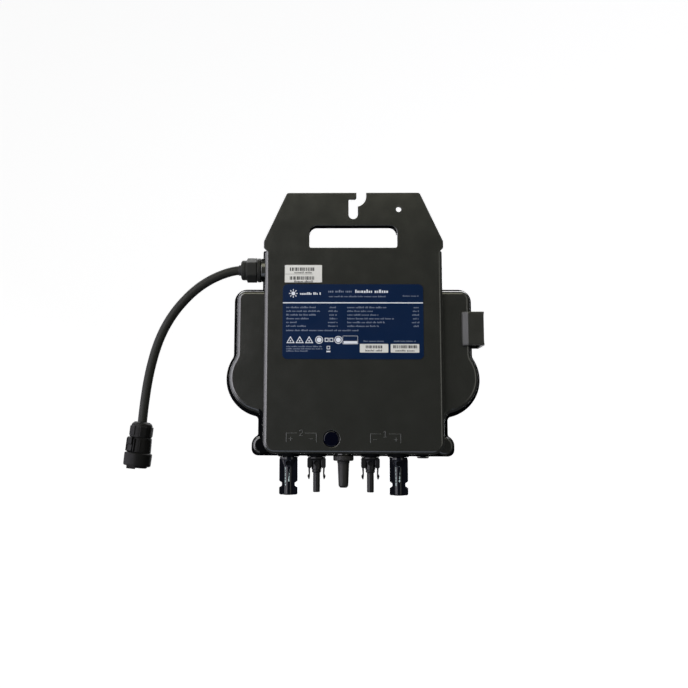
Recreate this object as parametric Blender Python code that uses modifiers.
"""A two-input micro inverter for a balcony solar system, hanging from a bolt in the slot of its plate.

Lengths are in millimetres here and become metres as each mesh is made. X runs to the right, Y runs
from the label side to the rear and Z runs up. The origin is the axis of the hanging bolt, in the
plane of the label side.
"""

import math

import bmesh
import bpy
from mathutils import Matrix, Vector

MM = 0.001

# Depth levels, from the label side to the rear
FACE_Y = 0.0
SKIN = 3.0
EAR_Y = 7.0
EAR_SKIN = 2.5
FLANGE_Y = 26.0
CASTING_BACK_Y = 28.7
COVER_Y = 30.2
COVER_THICKNESS = 3.0
OVERALL_DEPTH = 36.5
GAP = 0.3

# Outer outline of the casting, right half
OVERALL_WIDTH = 263.0
BOX_TOP_Z = -48.0
BOTTOM_Z = -259.5
RIM_HALF = 94.7
RIM_CORNER = 3.0
EAR_TOP_Z = -86.0
EAR_HALF = 124.0
EAR_CORNER = 13.5
LOBE_RADIUS = 40.0
LOBE_X = OVERALL_WIDTH / 2 - LOBE_RADIUS
LOBE_Z = -180.3
LOBE_BLEND = 8.0
FOOT_BLEND = 4.0
FLANGE_HALF = 98.15
FLANGE_STEP = 4.2
EAR_FILLET = 4.2
CORNER_X = 94.0
CORNER_Z = -248.6
CORNER_RADIUS = 10.9
CORNER_BLEND = 3.0

# Deep central box
BOX_HALF = 91.4
BOX_DRAFT = 2.8
BOX_BOTTOM_Z = -257.4
BOX_BOTTOM_DRAFT = 1.3
BOX_CORNER = 9.0
BOX_FILLET = 4.2
CAVITY_HALF = 87.8
CAVITY_TOP_Z = -51.0
CAVITY_BOTTOM_Z = -254.3

# Hanging plate
PLATE_TOP_Z = 12.1
PLATE_TOP_HALF = 68.8
PLATE_HALF = 92.5
PLATE_SHOULDER_Z = -39.6
PLATE_NECK_Z = -46.6
PLATE_END_HALF = 88.0
PLATE_END_Z = -51.4
PLATE_CORNER = 3.0
SLOT_RADIUS = 4.7
SLOT_TOP_Z = 4.9
SLOT_BOTTOM_Z = -11.2
TOOTH_X = 3.5
ENTRY_RADIUS = 10.8
ENTRY_CENTRE = (2.6, 8.0)
EARTH_HOLE = (47.0, -5.8)
EARTH_HOLE_RADIUS = 2.65
HANDLE_HALF = 45.2
HANDLE_TOP_Z = -23.0
HANDLE_BOTTOM_Z = -46.2
HANDLE_TOP_CORNER = 7.5
HANDLE_BOTTOM_CORNER = 2.0
LIP_DEPTH = 12.0
LIP_THICKNESS = 2.5

# Pieces on the face: label and sticker are left, right, bottom and top
LENS_PLACE = (-22.2, -242.35)
LENS_RADIUS = 8.1
LABEL = (-72.2, 71.2, -162.0, -84.9)
STICKER = (-70.3, -32.1, -83.0, -64.8)
FILM = 0.25

# Bottom row of connections
PORT_Y = 12.5
PORT_END_Z = -260.3
BARREL_XS = (-65.4, 45.6)
PROBE_XS = (-37.1, 17.3)
ANTENNA_X = -9.9
VENT_X = 70.5
PORT_BORE = 6.4
STEM_RADIUS = 6.0
STEM_TOP_Z = -247.0
FINGER_X = 7.25

# Clip on the right ear: where its section's foot, ramp, outer wall and tail are in X
CLIP_TOP_Z = -112.6
CLIP_BOTTOM_Z = -147.1
CLIP_WALL = 1.6
CLIP_FACE_Y = 2.0
CLIP_FOOT_X = 110.8
CLIP_RAMP_X = 116.8
CLIP_OUTER_X = 132.9
CLIP_TAIL_X = 120.5

# Cable gland, lead and coupler
GLAND_Y = 14.0
GLAND_Z = -67.4
GLAND_BORE = 8.2
CORD_DIAMETER = 9.5
CORD_EXIT_X = -118.4
PLUG_TOP = (-216.3, -227.3)
PLUG_TILT = 6.0
LEVER_TURN = 38.0
LEVER_PIVOT_Z = -22.2
LEVER_PIVOT_RADIUS = 10.6

# The lead's centre line: X and Z of each point, all at the gland's depth
CORD_ROUTE = (
    (-107.0, -67.4),
    (-112.5, -67.4),
    (-118.4, -67.5),
    (-125.0, -68.3),
    (-132.6, -70.4),
    (-142.9, -74.5),
    (-153.7, -80.4),
    (-164.9, -88.7),
    (-175.5, -99.1),
    (-185.5, -111.4),
    (-193.6, -124.4),
    (-199.7, -137.3),
    (-204.2, -150.0),
    (-207.6, -162.5),
    (-210.3, -175.0),
    (-212.4, -187.5),
    (-214.0, -200.0),
    (-215.3, -212.3),
    (-216.5, -226.8),
)

# Circuit board
BOARD_Y = 25.2
BOARD_THICKNESS = 1.6
PART_BACK = BOARD_Y - GAP

# Screws: the first two sit in the corner lobes, the next two in the ears, the last two at the top
SCREW_PLACES = (
    (-99.0, -250.0),
    (99.0, -250.0),
    (-112.0, -98.7),
    (112.0, -98.7),
    (-72.0, -56.2),
    (72.0, -56.2),
)
SCREW_RADIUS = 2.0
SCREW_HOLE_RADIUS = 2.35
POST_RADIUS = 5.4

FINISHES = {
    "housing_paint": ((0.035, 0.036, 0.031), 0.42, 0.3),
    "black_nylon": ((0.012, 0.013, 0.014), 0.35, 0.0),
    "gloss_nylon": ((0.006, 0.007, 0.010), 0.14, 0.0),
    "grey_nylon": ((0.045, 0.042, 0.038), 0.55, 0.0),
    "clip_nylon": ((0.055, 0.055, 0.058), 0.45, 0.0),
    "black_rubber": ((0.016, 0.016, 0.015), 0.7, 0.0),
    "cable_jacket": ((0.022, 0.022, 0.019), 0.5, 0.0),
    "label_film": ((0.010, 0.028, 0.085), 0.4, 0.0),
    "sticker_paper": ((0.78, 0.78, 0.76), 0.6, 0.0),
    "smoked_lens": ((0.003, 0.004, 0.012), 0.08, 0.0),
    "clear_acrylic": ((0.7, 0.75, 0.8), 0.1, 0.0),
    "zinc_steel": ((0.55, 0.55, 0.52), 0.3, 1.0),
    "silver_contact": ((0.75, 0.74, 0.70), 0.25, 1.0),
    "aluminium": ((0.60, 0.61, 0.62), 0.4, 1.0),
    "board_laminate": ((0.02, 0.16, 0.06), 0.45, 0.0),
    "ferrite": ((0.07, 0.07, 0.075), 0.6, 0.1),
    "copper_winding": ((0.55, 0.22, 0.08), 0.35, 0.9),
    "component_black": ((0.02, 0.02, 0.022), 0.4, 0.0),
    "capacitor_sleeve": ((0.04, 0.05, 0.12), 0.35, 0.0),
    "terminal_green": ((0.05, 0.25, 0.10), 0.5, 0.0),
    "film_yellow": ((0.65, 0.45, 0.05), 0.45, 0.0),
}


# ---------------------------------------------------------------- helpers


def clear_scene():
    for obj in list(bpy.data.objects):
        bpy.data.objects.remove(obj)


def new_collection(name):
    collection = bpy.data.collections.new(name)
    bpy.context.scene.collection.children.link(collection)
    return collection


def material(name):
    found = bpy.data.materials.get(name)
    if found:
        return found
    colour, roughness, metallic = FINISHES[name]
    made = bpy.data.materials.new(name)
    made.use_nodes = True
    shader = made.node_tree.nodes["Principled BSDF"]
    shader.inputs["Base Color"].default_value = (*colour, 1.0)
    shader.inputs["Roughness"].default_value = roughness
    shader.inputs["Metallic"].default_value = metallic
    made.diffuse_color = (*colour, 1.0)
    return made


def add(name, mesh, finish=None, location=(0, 0, 0)):
    """Links a mesh as a part when it has a finish, and as a tool when it has none."""
    obj = bpy.data.objects.new(name, mesh)
    obj.location = [value * MM for value in location]
    if finish:
        mesh.materials.append(material(finish))
        PARTS.objects.link(obj)
    else:
        obj.hide_render = True
        obj.display_type = "WIRE"
        TOOLS.objects.link(obj)
    return obj


def smooth(mesh, angle=35.0):
    mesh.shade_smooth()
    mesh.set_sharp_from_angle(angle=math.radians(angle))
    return mesh


def to_mesh(bm, name="shape"):
    bmesh.ops.recalc_face_normals(bm, faces=bm.faces)
    mesh = bpy.data.meshes.new(name)
    bm.to_mesh(mesh)
    bm.free()
    return smooth(mesh)


def block(low, high):
    """A box between two corners."""
    bm = bmesh.new()
    bmesh.ops.create_cube(bm, size=1.0)
    size = [(b - a) * MM for a, b in zip(low, high)]
    centre = [(a + b) / 2 * MM for a, b in zip(low, high)]
    bmesh.ops.scale(bm, vec=size, verts=bm.verts)
    bmesh.ops.translate(bm, vec=centre, verts=bm.verts)
    return to_mesh(bm)


def blocks(corner_pairs):
    """Several separate boxes in one mesh."""
    bm = bmesh.new()
    for low, high in corner_pairs:
        size = [(b - a) * MM for a, b in zip(low, high)]
        centre = Vector([(a + b) / 2 * MM for a, b in zip(low, high)])
        place = Matrix.Translation(centre) @ Matrix.Diagonal((*size, 1.0))
        bmesh.ops.create_cube(bm, size=1.0, matrix=place)
    return to_mesh(bm)


AXIS_TURNS = {
    "X": Matrix.Rotation(math.radians(90), 4, "Y"),
    "Y": Matrix.Rotation(math.radians(-90), 4, "X"),
    "Z": Matrix.Identity(4),
}


def rods(places, radius, length, axis, sides=20):
    """Separate cylinders in one mesh, each starting at its place and running along the axis."""
    bm = bmesh.new()
    for place in places:
        shift = Matrix.Translation(Vector(place) * MM)
        rise = Matrix.Translation((0, 0, length * MM / 2))
        bmesh.ops.create_cone(
            bm,
            cap_ends=True,
            segments=sides,
            radius1=radius * MM,
            radius2=radius * MM,
            depth=length * MM,
            matrix=shift @ AXIS_TURNS[axis] @ rise,
        )
    return to_mesh(bm)


def evaluated_copy(obj):
    graph = bpy.context.evaluated_depsgraph_get()
    return bpy.data.meshes.new_from_object(obj.evaluated_get(graph))


def slab(outlines, front, back):
    """Flat outlines in X and Z, given a thickness in Y; an outline inside another is a hole."""
    curve = bpy.data.curves.new("outline", "CURVE")
    curve.dimensions = "2D"
    curve.fill_mode = "BOTH"
    curve.extrude = (back - front) / 2 * MM
    for outline in outlines:
        spline = curve.splines.new("POLY")
        spline.points.add(len(outline) - 1)
        for point, (x, z) in zip(spline.points, outline):
            point.co = (x * MM, z * MM, 0, 1)
        spline.use_cyclic_u = True
    guide = bpy.data.objects.new("outline", curve)
    bpy.context.scene.collection.objects.link(guide)
    mesh = evaluated_copy(guide)
    bpy.data.objects.remove(guide)
    bm = bmesh.new()
    bm.from_mesh(mesh)
    bmesh.ops.remove_doubles(bm, verts=bm.verts, dist=1e-6)
    bmesh.ops.dissolve_limit(bm, angle_limit=math.radians(0.5), verts=bm.verts, edges=bm.edges)
    stand = Matrix.Rotation(math.radians(90), 4, "X")
    shift = Matrix.Translation((0, (front + back) / 2 * MM, 0))
    bmesh.ops.transform(bm, matrix=shift @ stand, verts=bm.verts)
    return to_mesh(bm)


def turned(name, profile, finish=None, location=(0, 0, 0), axis="Z", steps=20):
    """A solid of revolution. The profile is (radius, height), down its outer side."""
    bm = bmesh.new()
    points = [bm.verts.new((r * MM, 0, h * MM)) for r, h in profile]
    for first, second in zip(points, points[1:]):
        bm.edges.new((first, second))
    if profile[0][0] > 0:
        bm.edges.new((points[-1], points[0]))
    mesh = bpy.data.meshes.new(name)
    bm.to_mesh(mesh)
    bm.free()
    obj = add(name, mesh, finish, location)
    obj.rotation_euler = AXIS_TURNS[axis].to_euler()
    screw = obj.modifiers.new("turn", "SCREW")
    screw.steps = steps
    screw.render_steps = steps
    screw.use_merge_vertices = True
    screw.merge_threshold = 0.00001
    screw.use_smooth_shade = True
    return obj


def bevel(obj, width, segments=2, angle=40.0):
    modifier = obj.modifiers.new("rounded_edges", "BEVEL")
    modifier.width = width * MM
    modifier.segments = segments
    modifier.limit_method = "ANGLE"
    modifier.angle_limit = math.radians(angle)
    return obj


def boolean(target, tool, operation):
    modifier = target.modifiers.new(tool.name, "BOOLEAN")
    modifier.object = tool
    modifier.operation = operation
    modifier.solver = "EXACT"
    return target


def join(target, name, mesh):
    return boolean(target, add(name, mesh), "UNION")


def cut(target, name, mesh):
    return boolean(target, add(name, mesh), "DIFFERENCE")


# ---------------------------------------------------------------- outlines


def arc(centre, radius, start, end, steps):
    """Points on an arc, its two ends included; the angles are in degrees."""
    points = []
    for step in range(steps + 1):
        angle = math.radians(start + (end - start) * step / steps)
        points.append((centre[0] + radius * math.cos(angle), centre[1] + radius * math.sin(angle)))
    return points


def mirrored(points):
    return [(-x, z) for x, z in reversed(points)]


def rounded_box(left, right, bottom, top, top_corner, bottom_corner, steps=5):
    outline = arc((right - top_corner, top - top_corner), top_corner, 90, 0, steps)
    outline += arc((right - bottom_corner, bottom + bottom_corner), bottom_corner, 0, -90, steps)
    outline += arc((left + bottom_corner, bottom + bottom_corner), bottom_corner, -90, -180, steps)
    outline += arc((left + top_corner, top - top_corner), top_corner, 180, 90, steps)
    return outline


def ear_side(inset):
    """Right side of an ear and its lobe, from the ear's top to the foot of the lobe."""
    ear_corner = (EAR_HALF - EAR_CORNER, EAR_TOP_Z - EAR_CORNER)
    points = arc(ear_corner, EAR_CORNER - inset, 90, 0, 6)
    lobe = (LOBE_X, LOBE_Z)
    reach = EAR_HALF + LOBE_BLEND - LOBE_X
    upper_angle = math.acos(reach / (LOBE_RADIUS + LOBE_BLEND))
    upper = (EAR_HALF + LOBE_BLEND, LOBE_Z + (LOBE_RADIUS + LOBE_BLEND) * math.sin(upper_angle))
    upper_degrees = math.degrees(upper_angle)
    points += arc(upper, LOBE_BLEND + inset, 180, 180 + upper_degrees, 2)
    reach = FLANGE_HALF + FOOT_BLEND - LOBE_X
    lower_angle = math.acos(reach / (LOBE_RADIUS + FOOT_BLEND))
    lower = (FLANGE_HALF + FOOT_BLEND, LOBE_Z - (LOBE_RADIUS + FOOT_BLEND) * math.sin(lower_angle))
    lower_degrees = math.degrees(lower_angle)
    points += arc(lobe, LOBE_RADIUS - inset, upper_degrees, -lower_degrees, 12)
    points += arc(lower, FOOT_BLEND + inset, 180 - lower_degrees, 180, 2)
    return points


def corner_side(inset):
    """Right corner lobe, down to the bottom edge."""
    centre = (CORNER_X, CORNER_Z)
    reach = FLANGE_HALF + CORNER_BLEND - CORNER_X
    angle = math.acos(reach / (CORNER_RADIUS + CORNER_BLEND))
    blend_z = CORNER_Z + (CORNER_RADIUS + CORNER_BLEND) * math.sin(angle)
    blend = (FLANGE_HALF + CORNER_BLEND, blend_z)
    degrees = math.degrees(angle)
    points = arc(blend, CORNER_BLEND + inset, 180, 180 + degrees, 2)
    points += arc(centre, CORNER_RADIUS - inset, degrees, -90, 6)
    return points


def casting_outline(inset, with_corners=True):
    """The whole outer outline, drawn in by an inset."""
    radius = max(RIM_CORNER - inset, 0.5)
    rim_corner = (RIM_HALF - inset - radius, BOX_TOP_Z - inset - radius)
    points = arc(rim_corner, radius, 90, 0, 3)
    points.append((RIM_HALF - inset, EAR_TOP_Z - inset))
    points += ear_side(inset)
    if with_corners:
        points += corner_side(inset)
    else:
        points.append((FLANGE_HALF - inset, BOTTOM_Z + inset))
    return points + mirrored(points)


def ears_outline(inset):
    """Both ears and lobes with the plain region between them."""
    points = ear_side(inset)
    return points + mirrored(points)


def plate_outline():
    slant = math.atan2(PLATE_HALF - PLATE_TOP_HALF, PLATE_TOP_Z - PLATE_SHOULDER_Z)
    degrees = math.degrees(slant)
    setback = PLATE_CORNER * math.tan(math.radians(90 - degrees) / 2)
    top_corner = (PLATE_TOP_HALF - setback, PLATE_TOP_Z - PLATE_CORNER)
    points = arc(top_corner, PLATE_CORNER, 90, degrees, 4)
    drop = PLATE_CORNER * math.tan(slant / 2)
    shoulder = (PLATE_HALF - PLATE_CORNER, PLATE_SHOULDER_Z - drop)
    points += arc(shoulder, PLATE_CORNER, degrees, 0, 3)
    points.append((PLATE_HALF, PLATE_NECK_Z))
    points.append((PLATE_END_HALF, PLATE_END_Z))
    return points + mirrored(points)


def notch_outline():
    """The hook slot: a round-ended slot with an entry from the top edge, past a tooth."""
    above = PLATE_TOP_Z + 4
    corner = 1.5
    points = [(TOOTH_X, above), (TOOTH_X, SLOT_TOP_Z + 2.2), (TOOTH_X - 0.4, SLOT_TOP_Z + 0.6)]
    points.append((TOOTH_X - 1.6, SLOT_TOP_Z))
    points += arc((-SLOT_RADIUS + corner, SLOT_TOP_Z - corner), corner, 90, 180, 3)
    points += arc((0, SLOT_BOTTOM_Z), SLOT_RADIUS, 180, 360, 10)
    start = -math.degrees(math.acos((SLOT_RADIUS - ENTRY_CENTRE[0]) / ENTRY_RADIUS))
    points += arc(ENTRY_CENTRE, ENTRY_RADIUS, start, 0, 8)
    points.append((ENTRY_CENTRE[0] + ENTRY_RADIUS, above))
    return points


# ---------------------------------------------------------------- castings


def box_shell():
    """The deep box, wider at the rear by its draft, with rounded front edges."""
    outline = rounded_box(
        -BOX_HALF, BOX_HALF, BOX_BOTTOM_Z, BOX_TOP_Z, RIM_CORNER, BOX_CORNER
    )
    mesh = slab([outline], FACE_Y, CASTING_BACK_Y - 1)
    for vertex in mesh.vertices:
        if vertex.co.y > EAR_Y * MM:
            vertex.co.x *= (BOX_HALF + BOX_DRAFT) / BOX_HALF
            if vertex.co.z < LOBE_Z * MM:
                vertex.co.z -= BOX_BOTTOM_DRAFT * MM
    return mesh


def front_housing():
    housing = add("front_housing", box_shell(), "housing_paint")
    bevel(housing, BOX_FILLET, 3, 60)
    ears = add("ears", slab([ears_outline(FLANGE_STEP)], EAR_Y, CASTING_BACK_Y - 1))
    bevel(ears, EAR_FILLET, 3, 50)
    boolean(housing, ears, "UNION")
    join(housing, "flange", slab([casting_outline(0)], FLANGE_Y, CASTING_BACK_Y))
    corners = [(side * CORNER_X, FLANGE_Y - 5, CORNER_Z) for side in (-1, 1)]
    corner_bosses = add("corner_bosses", rods(corners, CORNER_RADIUS - 0.4, 6.5, "Y"))
    bevel(corner_bosses, 1.6, 2)
    boolean(housing, corner_bosses, "UNION")
    plate = add("plate", slab([plate_outline()], FACE_Y, SKIN))
    boolean(housing, plate, "UNION")
    join(housing, "lip", handle_lip())
    wide = [(x, PORT_Y, PORT_END_Z) for x in BARREL_XS]
    narrow = [(x, PORT_Y, PORT_END_Z) for x in (*PROBE_XS, ANTENNA_X)]
    join(housing, "barrel_bosses", rods(wide, 10.8, 7.0, "Z"))
    join(housing, "probe_bosses", rods(narrow, 9.7, 7.0, "Z"))
    join(housing, "vent_boss", rods([(VENT_X, PORT_Y, PORT_END_Z + 0.5)], 6.6, 6.0, "Z", 20))
    join(housing, "gland_boss", rods([(-95.4, GLAND_Y, GLAND_Z)], 12.4, 8.0, "X", 32))
    cavity = rounded_box(
        -CAVITY_HALF, CAVITY_HALF, CAVITY_BOTTOM_Z, CAVITY_TOP_Z, 4.0, 6.0, 3
    )
    cut(housing, "box_cavity", slab([cavity], FACE_Y + SKIN, CASTING_BACK_Y + 3))
    ear_cavity = ears_outline(FLANGE_STEP + EAR_SKIN)
    cut(housing, "ear_cavity", slab([ear_cavity], EAR_Y + EAR_SKIN, CASTING_BACK_Y + 3))
    ear_posts = [(x, EAR_Y + 1, z) for x, z in SCREW_PLACES[2:4]]
    top_posts = [(x, FACE_Y + 1, z) for x, z in SCREW_PLACES[4:6]]
    join(housing, "ear_posts", rods(ear_posts, POST_RADIUS, CASTING_BACK_Y - EAR_Y - 1.3, "Y", 16))
    join(housing, "top_posts", rods(top_posts, POST_RADIUS, CASTING_BACK_Y - 1.3, "Y", 16))
    cut_housing_holes(housing)
    return housing


def handle_lip():
    """The lip folded back from the top edge and the top corners of the handle slot."""
    reach = HANDLE_HALF - HANDLE_TOP_CORNER
    centre_z = HANDLE_TOP_Z - HANDLE_TOP_CORNER
    inner = arc((reach, centre_z), HANDLE_TOP_CORNER, 90, 0, 5)
    outer = arc((reach, centre_z), HANDLE_TOP_CORNER + LIP_THICKNESS, 0, 90, 5)
    band = inner + outer
    return slab([band + mirrored(band)], SKIN - 0.5, LIP_DEPTH)


def cut_housing_holes(housing):
    cut(housing, "hook_notch", slab([notch_outline()], FACE_Y - 3, SKIN + 3))
    earth_hole = [(EARTH_HOLE[0], FACE_Y - 3, EARTH_HOLE[1])]
    cut(housing, "earth_hole", rods(earth_hole, EARTH_HOLE_RADIUS, SKIN + 6, "Y", 20))
    handle = rounded_box(
        -HANDLE_HALF,
        HANDLE_HALF,
        HANDLE_BOTTOM_Z,
        HANDLE_TOP_Z,
        HANDLE_TOP_CORNER,
        HANDLE_BOTTOM_CORNER,
    )
    cut(housing, "handle_slot", slab([handle], FACE_Y - 3, LIP_DEPTH + 3))
    ports = [(x, PORT_Y, PORT_END_Z - 2) for x in (*BARREL_XS, *PROBE_XS, ANTENNA_X)]
    cut(housing, "port_bores", rods(ports, PORT_BORE, 14.0, "Z"))
    vent = [(VENT_X, PORT_Y, PORT_END_Z - 2)]
    cut(housing, "vent_bore", rods(vent, 3.3, 14.0, "Z", 16))
    cut(housing, "gland_bore", rods([(-99.0, GLAND_Y, GLAND_Z)], GLAND_BORE, 16.0, "X"))
    lens = [(LENS_PLACE[0], FACE_Y - 2, LENS_PLACE[1])]
    cut(housing, "lens_hole", rods(lens, LENS_RADIUS + 0.35, SKIN + 4, "Y", 32))
    screws = [(x, 18.5, z) for x, z in SCREW_PLACES[2:]]
    cut(housing, "screw_holes", rods(screws, SCREW_HOLE_RADIUS, 14.0, "Y", 12))
    corners = [(x, 22.8, z) for x, z in SCREW_PLACES[:2]]
    cut(housing, "corner_screw_holes", rods(corners, SCREW_HOLE_RADIUS, 10.0, "Y", 12))


def rear_cover():
    back = COVER_Y + COVER_THICKNESS
    cover = add("rear_cover", slab([casting_outline(0)], COVER_Y, back), "housing_paint")
    bevel(cover, 1.0, 1, 50)
    ribs = []
    for index in range(-6, 7):
        x = index * 12.5
        ribs.append(((x - 1.1, back - 1, -246.0), (x + 1.1, OVERALL_DEPTH, -68.0)))
    for side in (-1, 1):
        for x in (92.0, 103.0, 114.0):
            ribs.append(((side * x - 1.1, back - 1, -204.0), (side * x + 1.1, OVERALL_DEPTH, -112.0)))
    join(cover, "cooling_ribs", blocks(ribs))
    screws = [(x, COVER_Y - 2, z) for x, z in SCREW_PLACES]
    cut(cover, "cover_screw_holes", rods(screws, SCREW_HOLE_RADIUS, 8.0, "Y", 12))
    return cover


def cover_gasket():
    outlines = [casting_outline(1.8, False), casting_outline(5.2, False)]
    mesh = slab(outlines, CASTING_BACK_Y + GAP, COVER_Y - GAP)
    return add("cover_gasket", mesh, "black_rubber")


def case_screws():
    head_seat = COVER_Y + COVER_THICKNESS + GAP
    for number, (x, z) in enumerate(SCREW_PLACES, 1):
        tip = 23.6 if number <= 2 else 19.5
        profile = [
            (0.0, head_seat + 1.2),
            (1.6, head_seat + 1.2),
            (1.6, head_seat + 2.6),
            (3.0, head_seat + 2.6),
            (3.8, head_seat + 1.7),
            (3.8, head_seat),
            (SCREW_RADIUS, head_seat),
            (SCREW_RADIUS, tip + 1),
            (1.2, tip),
            (0.0, tip),
        ]
        turned(f"case_screw_{number}", profile, "zinc_steel", (x, 0, z), "Y", 12)


# ---------------------------------------------------------------- face pieces

def face_pieces():
    label = rounded_box(*LABEL, 5.0, 5.0)
    add("rating_label", slab([label], FACE_Y - GAP - FILM, FACE_Y - GAP), "label_film")
    sticker = rounded_box(*STICKER, 0.6, 0.6, 1)
    add("serial_sticker", slab([sticker], FACE_Y - GAP - FILM, FACE_Y - GAP), "sticker_paper")
    dome = [(0.0, -0.35), (LENS_RADIUS - 2, -0.45), (LENS_RADIUS - 0.5, -0.75)]
    rest = [(LENS_RADIUS, -1.3), (LENS_RADIUS, -6.0), (0.0, -6.0)]
    lens = turned("status_lens", dome + rest, "smoked_lens", (LENS_PLACE[0], 0, LENS_PLACE[1]))
    lens.rotation_euler = (math.radians(90), 0, 0)


# ---------------------------------------------------------------- bottom row


def barrel_coupler(number, x):
    """DC coupler with a barrel end: two side wings with latch windows, and a bore for the mate."""
    profile = [
        (0.0, STEM_TOP_Z),
        (STEM_RADIUS, STEM_TOP_Z),
        (STEM_RADIUS, PORT_END_Z - GAP),
        (9.2, PORT_END_Z - GAP),
        (9.2, -263.2),
        (8.4, -263.8),
        (6.1, -270.0),
        (6.1, -297.6),
        (5.3, -298.5),
        (0.0, -298.5),
    ]
    body = turned(f"barrel_coupler_{number}", profile, "gloss_nylon", (x, PORT_Y, 0))
    wings = add("wings", block((-9.25, -4.8, -298.2), (9.25, 4.8, -262.0)), None, (x, PORT_Y, 0))
    bevel(wings, 1.2, 2)
    boolean(body, wings, "UNION")
    windows = [
        ((6.1, -7, -289.7), (12, 7, -285.2)),
        ((-12, -7, -289.7), (-6.1, 7, -285.2)),
    ]
    boolean(body, add("windows", blocks(windows), None, (x, PORT_Y, 0)), "DIFFERENCE")
    bore = rods([(0, 0, -300.0)], 4.3, 32.0, "Z", 20)
    boolean(body, add("bore", bore, None, (x, PORT_Y, 0)), "DIFFERENCE")
    pin = [
        (0.0, -268.4),
        (3.9, -268.4),
        (3.9, -270.6),
        (1.6, -270.6),
        (1.6, -290.6),
        (0.7, -291.8),
        (0.0, -291.8),
    ]
    turned(f"pin_contact_{number}", pin, "silver_contact", (x, PORT_Y, 0), steps=12)


def probe_coupler(number, x):
    """DC coupler with a probe end, whose two latch fingers sit in pockets in its shoulder."""
    profile = [
        (0.0, STEM_TOP_Z),
        (STEM_RADIUS, STEM_TOP_Z),
        (STEM_RADIUS, PORT_END_Z - GAP),
        (8.6, PORT_END_Z - GAP),
        (8.6, -262.5),
        (6.4, -264.0),
        (6.3, -271.4),
        (4.5, -276.0),
        (3.5, -276.8),
        (3.5, -295.1),
        (2.9, -295.7),
        (0.0, -295.7),
    ]
    body = turned(f"probe_coupler_{number}", profile, "black_nylon", (x, PORT_Y, 0))
    shoulder = add("shoulder", block((-9.35, -5.4, -271.8), (9.35, 5.4, -261.4)), None, (x, PORT_Y, 0))
    bevel(shoulder, 1.5, 1)
    boolean(body, shoulder, "UNION")
    low, high = FINGER_X - 1.2, FINGER_X + 1.2
    pockets = [((low, -3.0, -273.0), (high, 3.0, -268.8)), ((-high, -3.0, -273.0), (-low, 3.0, -268.8))]
    boolean(body, add("pockets", blocks(pockets), None, (x, PORT_Y, 0)), "DIFFERENCE")
    socket_bore = rods([(0, 0, -297.0)], 2.0, 17.0, "Z", 16)
    boolean(body, add("socket_bore", socket_bore, None, (x, PORT_Y, 0)), "DIFFERENCE")
    contact = [(0.8, -280.4), (1.65, -280.4), (1.65, -294.6), (0.8, -294.6)]
    turned(f"socket_contact_{number}", contact, "silver_contact", (x, PORT_Y, 0), steps=12)
    latch_fingers(number, x)


def latch_fingers(number, x):
    """Each finger bends about the root of its pocket, so its origin is there."""
    root_z = -269.8
    outline = [
        (-0.7, 0.5),
        (0.75, 0.5),
        (0.75, -7.6),
        (1.85, -9.4),
        (1.85, -10.3),
        (0.9, -13.0),
        (-0.1, -13.0),
        (-0.7, -10.0),
    ]
    for side, name in ((-1, "left"), (1, "right")):
        points = [(side * px, pz) for px, pz in outline]
        finger = add(
            f"latch_finger_{number}_{name}",
            slab([points], -2.4, 2.4),
            "black_nylon",
            (x + side * FINGER_X, PORT_Y, root_z),
        )
        bevel(finger, 0.2, 1)


def lock_nuts():
    """Panel nuts inside the box, on the stems of the couplers and the antenna base."""
    bore = STEM_RADIUS + 0.35
    top, low = -250.0, CAVITY_BOTTOM_Z + GAP
    for number, x in enumerate(sorted((*BARREL_XS, *PROBE_XS)), 1):
        outline = arc((0, 0), 8.8, 0, 300, 5)
        nut = add(f"lock_nut_{number}", prism(outline, low, top), "zinc_steel", (x, PORT_Y, 0))
        hole = rods([(0, 0, low - 1)], bore, top - low + 2, "Z", 20)
        boolean(nut, add("nut_bore", hole, None, (x, PORT_Y, 0)), "DIFFERENCE")


def prism(outline, low, high):
    """An outline in X and Y, standing from one height to another."""
    mesh = slab([[(px, -py) for px, py in outline]], low, high)
    mesh.transform(Matrix.Rotation(math.radians(90), 4, "X"))
    return mesh


def antenna():
    base = [
        (0.0, STEM_TOP_Z + 3),
        (STEM_RADIUS, STEM_TOP_Z + 3),
        (STEM_RADIUS, PORT_END_Z - GAP),
        (9.6, PORT_END_Z - GAP),
        (10.35, -261.4),
        (10.35, -263.4),
        (9.4, -264.3),
        (0.0, -264.3),
    ]
    turned("antenna_base", base, "grey_nylon", (ANTENNA_X, PORT_Y, 0))
    cover = [
        (0.0, -264.6),
        (6.6, -264.6),
        (6.0, -266.0),
        (5.85, -268.0),
        (4.95, -288.2),
        (4.5, -290.0),
        (3.2, -291.0),
        (0.0, -291.2),
    ]
    turned("antenna_cover", cover, "grey_nylon", (ANTENNA_X, PORT_Y, 0), steps=16)
    vent = [
        (0.0, -252.0),
        (2.9, -252.0),
        (2.9, PORT_END_Z + 0.2),
        (6.0, PORT_END_Z + 0.2),
        (6.0, -260.6),
        (5.0, -261.2),
        (0.0, -261.4),
    ]
    turned("vent_plug", vent, "black_nylon", (VENT_X, PORT_Y, 0), steps=16)


# ---------------------------------------------------------------- side clip

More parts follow.
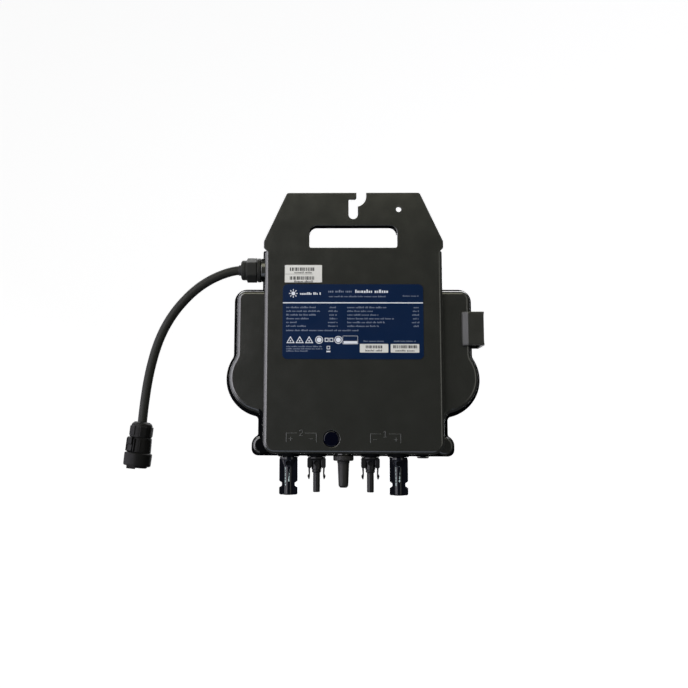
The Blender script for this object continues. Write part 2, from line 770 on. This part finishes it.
def side_clip():
    """A clip that reaches over the right ear from its face round to the rear of the flange."""
    rest = EAR_Y - GAP
    back = COVER_Y + COVER_THICKNESS + GAP
    section = [
        (CLIP_FOOT_X, rest),
        (CLIP_FOOT_X, rest - CLIP_WALL),
        (CLIP_FOOT_X + 0.8, rest - CLIP_WALL),
        (CLIP_RAMP_X, CLIP_FACE_Y),
        (CLIP_OUTER_X, CLIP_FACE_Y),
        (CLIP_OUTER_X, back + CLIP_WALL),
        (CLIP_TAIL_X, back + CLIP_WALL),
        (CLIP_TAIL_X, back),
        (CLIP_OUTER_X - CLIP_WALL, back),
        (CLIP_OUTER_X - CLIP_WALL, CLIP_FACE_Y + CLIP_WALL),
        (CLIP_RAMP_X + 0.7, CLIP_FACE_Y + CLIP_WALL),
        (CLIP_FOOT_X + 2.2, rest),
    ]
    add("side_clip", prism(section, CLIP_BOTTOM_Z, CLIP_TOP_Z), "clip_nylon")


# ---------------------------------------------------------------- gland, lead and coupler


def gland():
    place = (0, GLAND_Y, GLAND_Z)
    body = [
        (5.4, -80.5),
        (7.8, -80.5),
        (7.8, -95.7),
        (12.6, -95.7),
        (12.6, -99.6),
        (8.6, -99.6),
        (8.6, -104.0),
        (5.4, -104.0),
    ]
    turned("gland_body", body, "black_nylon", place, "X", 20)
    hexagon = [(10.3, -100.0), (12.9, -100.0), (12.9, -110.6), (10.3, -110.6)]
    nut = turned("gland_nut", hexagon, "black_nylon", place, "X", 6)
    dome = [
        (8.95, -105.0),
        (10.6, -105.0),
        (10.4, -114.8),
        (9.3, -117.2),
        (7.0, -117.8),
        (7.0, -110.0),
        (8.95, -109.0),
    ]
    ring = turned("nut_dome", dome, None, place, "X", 20)
    boolean(nut, ring, "UNION")
    seal = [
        (5.3, -105.0),
        (6.6, -105.0),
        (6.6, CORD_EXIT_X - 0.6),
        (5.6, CORD_EXIT_X - 1.0),
        (5.3, CORD_EXIT_X - 1.0),
    ]
    turned("gland_seal", seal, "black_rubber", place, "X", 20)


def spline_points(points, count):
    """Evenly spread points on a smooth curve through the route's points."""
    route = [Vector((x, GLAND_Y, z)) * MM for x, z in points]
    padded = [2 * route[0] - route[1], *route, 2 * route[-1] - route[-2]]
    fine = []
    for p0, p1, p2, p3 in zip(padded, padded[1:], padded[2:], padded[3:]):
        for step in range(12):
            t = step / 12
            a = 2 * p1
            b = p2 - p0
            c = 2 * p0 - 5 * p1 + 4 * p2 - p3
            d = 3 * p1 - p0 - 3 * p2 + p3
            fine.append((a + b * t + c * t * t + d * t * t * t) / 2)
    fine.append(route[-1])
    lengths = [0.0]
    for first, second in zip(fine, fine[1:]):
        lengths.append(lengths[-1] + (second - first).length)
    spread = []
    index = 0
    for step in range(count):
        wanted = lengths[-1] * step / (count - 1)
        while index < len(fine) - 2 and lengths[index + 1] < wanted:
            index += 1
        part = (wanted - lengths[index]) / (lengths[index + 1] - lengths[index])
        spread.append(fine[index].lerp(fine[index + 1], part))
    return spread


def ac_lead():
    curve = bpy.data.curves.new("ac_cable", "CURVE")
    curve.dimensions = "3D"
    curve.bevel_depth = CORD_DIAMETER / 2 * MM
    curve.bevel_resolution = 3
    curve.use_fill_caps = True
    curve.render_resolution_u = 0
    points = spline_points(CORD_ROUTE, 24)
    spline = curve.splines.new("POLY")
    spline.points.add(len(points) - 1)
    for slot, point in zip(spline.points, points):
        slot.co = (*point, 1)
    cable = bpy.data.objects.new("ac_cable", curve)
    curve.materials.append(material("cable_jacket"))
    PARTS.objects.link(cable)


def on_plug(obj, holder):
    obj.parent = holder
    return obj


def ac_coupler():
    """The coupler hangs on the lead; its pieces stand on an empty whose Z is the coupler's axis."""
    holder = bpy.data.objects.new("ac_coupler_axis", None)
    PARTS.objects.link(holder)
    holder.location = (PLUG_TOP[0] * MM, GLAND_Y * MM, PLUG_TOP[1] * MM)
    holder.rotation_euler = (0, math.radians(PLUG_TILT), 0)
    nut = [
        (5.2, 2.0),
        (8.2, 2.0),
        (10.4, 0.6),
        (11.7, -2.2),
        (11.9, -14.6),
        (9.4, -14.6),
        (9.4, -1.5),
        (5.2, -1.5),
    ]
    on_plug(turned("plug_nut", nut, "black_nylon", steps=20), holder)
    body = [
        (0.0, -2.4),
        (9.0, -2.4),
        (9.0, -15.0),
        (11.9, -15.0),
        (12.5, -30.0),
        (10.6, -30.0),
        (10.6, -40.5),
        (0.0, -40.5),
    ]
    plug_body = on_plug(turned("plug_body", body, "black_nylon", steps=20), holder)
    lever_bed = on_plug(add("lever_bed", block((-4.4, -16.0, -29.6), (4.4, -9.3, -14.8))), holder)
    lever_bed.rotation_euler = (0, 0, math.radians(-LEVER_TURN))
    boolean(plug_body, lever_bed, "DIFFERENCE")
    collar = [
        (10.95, -30.4),
        (13.4, -30.4),
        (14.1, -31.2),
        (13.9, -41.6),
        (13.0, -42.6),
        (10.95, -42.6),
    ]
    plug_collar = on_plug(turned("plug_collar", collar, "black_nylon", steps=24), holder)
    key = on_plug(add("key", block((-7.5, -13.6, -45.4), (1.5, -11.3, -41.0))), holder)
    boolean(plug_collar, key, "UNION")
    face = [(0.0, -40.9), (10.5, -40.9), (10.5, -43.6), (9.6, -44.4), (0.0, -44.4)]
    insert = on_plug(turned("plug_insert", face, "grey_nylon", steps=20), holder)
    sockets = [(4.6 * math.cos(a), 4.6 * math.sin(a), -46.0) for a in (0.5, 2.6, 4.7)]
    boolean(insert, on_plug(add("sockets", rods(sockets, 1.4, 4.0, "Z", 10)), holder), "DIFFERENCE")
    coupler_lever(holder)


def coupler_lever(holder):
    """Release lever in its bed on the coupler; its origin is on the pivot across its middle."""
    turn = Matrix.Rotation(math.radians(-LEVER_TURN), 4, "Z")
    pivot = turn @ Vector((0, -LEVER_PIVOT_RADIUS, LEVER_PIVOT_Z))
    side = [(-0.9, -6.9), (-0.9, -1.1), (0.9, -0.6), (0.9, 0.6), (-0.9, 1.1), (-0.9, 6.9)]
    side += [(-2.9, 6.9), (-2.9, 0.6), (-1.9, -0.6), (-2.3, -6.9)]
    mesh = slab([side], -3.7, 3.7)
    mesh.transform(Matrix.Rotation(math.radians(90), 4, "Z"))
    lever = add("plug_lever", mesh, "black_nylon", pivot)
    lever.rotation_euler = (0, 0, math.radians(-LEVER_TURN))
    bevel(lever, 0.5, 1)
    on_plug(lever, holder)


# ---------------------------------------------------------------- inside

def board():
    half = [(0, -64), (80, -64), (84, -68), (84, -104), (114, -112), (115, -156)]
    half += arc((LOBE_X, LOBE_Z), 30.0, 15, -70, 6)
    half += [(86, -216), (86, -240), (80, -244), (0, -244)]
    outline = half + mirrored(half)[1:-1]
    add("circuit_board", slab([outline], BOARD_Y, BOARD_Y + BOARD_THICKNESS), "board_laminate")


def standing(name, x, z, size_x, size_z, height, finish, edge=0.0):
    """A boxy component on the board's front side."""
    low = (x - size_x / 2, PART_BACK - height, z - size_z / 2)
    high = (x + size_x / 2, PART_BACK, z + size_z / 2)
    part = add(name, block(low, high), finish)
    if edge:
        bevel(part, edge, 1)
    return part


def can(name, x, z, radius, height, finish):
    profile = [(0.0, 0.0), (radius, 0.0), (radius, -height + 1), (radius - 1, -height), (0.0, -height)]
    part = turned(name, profile, finish, (x, PART_BACK, z), "Y", 16)
    return part


def transformer(side, name):
    """A flat core with a round winding, in the round lobe."""
    x, z = side * 97.0, LOBE_Z
    winding = [(10.4, 0.0), (18.5, 0.0), (18.5, -9.6), (10.4, -9.6)]
    turned(f"transformer_winding_{name}", winding, "copper_winding", (x, PART_BACK, z), "Y")
    core = [(0.0, 0.0), (10.0, 0.0), (10.0, -9.8), (0.0, -9.8)]
    turned(f"transformer_core_{name}", core, "ferrite", (x, PART_BACK, z), "Y", 16)


def electronics():
    board()
    transformer(-1, "left")
    transformer(1, "right")
    for number, x in enumerate((-66.0, -44.0, -22.0, 0.0), 1):
        can(f"input_capacitor_{number}", x, -206.0, 9.0, 20.0, "capacitor_sleeve")
    choke = [(7.0, 0.0), (16.0, 0.0), (16.0, -13.0), (7.0, -13.0)]
    turned("output_choke", choke, "copper_winding", (-52.0, PART_BACK, -112.0), "Y")
    standing("film_capacitor", -14.0, -100.0, 28.0, 14.0, 18.0, "film_yellow", 1.0)
    standing("output_relay", -62.0, -80.0, 20.0, 16.0, 16.0, "component_black", 0.6)
    standing("ac_terminal_block", -34.0, -76.0, 20.0, 10.0, 12.0, "terminal_green")
    standing("heat_spreader", 10.0, -150.0, 110.0, 12.0, 6.0, "aluminium")
    standing("power_transistor_1", -20.0, -166.0, 16.0, 18.0, 5.0, "component_black")
    standing("power_transistor_2", 40.0, -166.0, 16.0, 18.0, 5.0, "component_black")
    standing("wireless_module", -9.9, -232.0, 20.0, 14.0, 3.2, "zinc_steel", 0.3)
    standing("status_led", LENS_PLACE[0], LENS_PLACE[1] + 1.0, 3.0, 2.0, 1.6, "clear_acrylic")
    pipe = [(0.0, -6.4), (2.2, -6.4), (2.2, -22.4), (0.0, -22.4)]
    place = (LENS_PLACE[0], 0, LENS_PLACE[1])
    light_pipe = turned("light_pipe", pipe, "clear_acrylic", place, steps=12)
    light_pipe.rotation_euler = (math.radians(90), 0, 0)


def main():
    front_housing()
    rear_cover()
    cover_gasket()
    case_screws()
    face_pieces()
    for number, x in enumerate(BARREL_XS, 1):
        barrel_coupler(number, x)
    for number, x in enumerate(PROBE_XS, 1):
        probe_coupler(number, x)
    lock_nuts()
    antenna()
    side_clip()
    gland()
    ac_lead()
    ac_coupler()
    electronics()


clear_scene()
PARTS = new_collection("micro_inverter")
TOOLS = new_collection("cutters")
main()
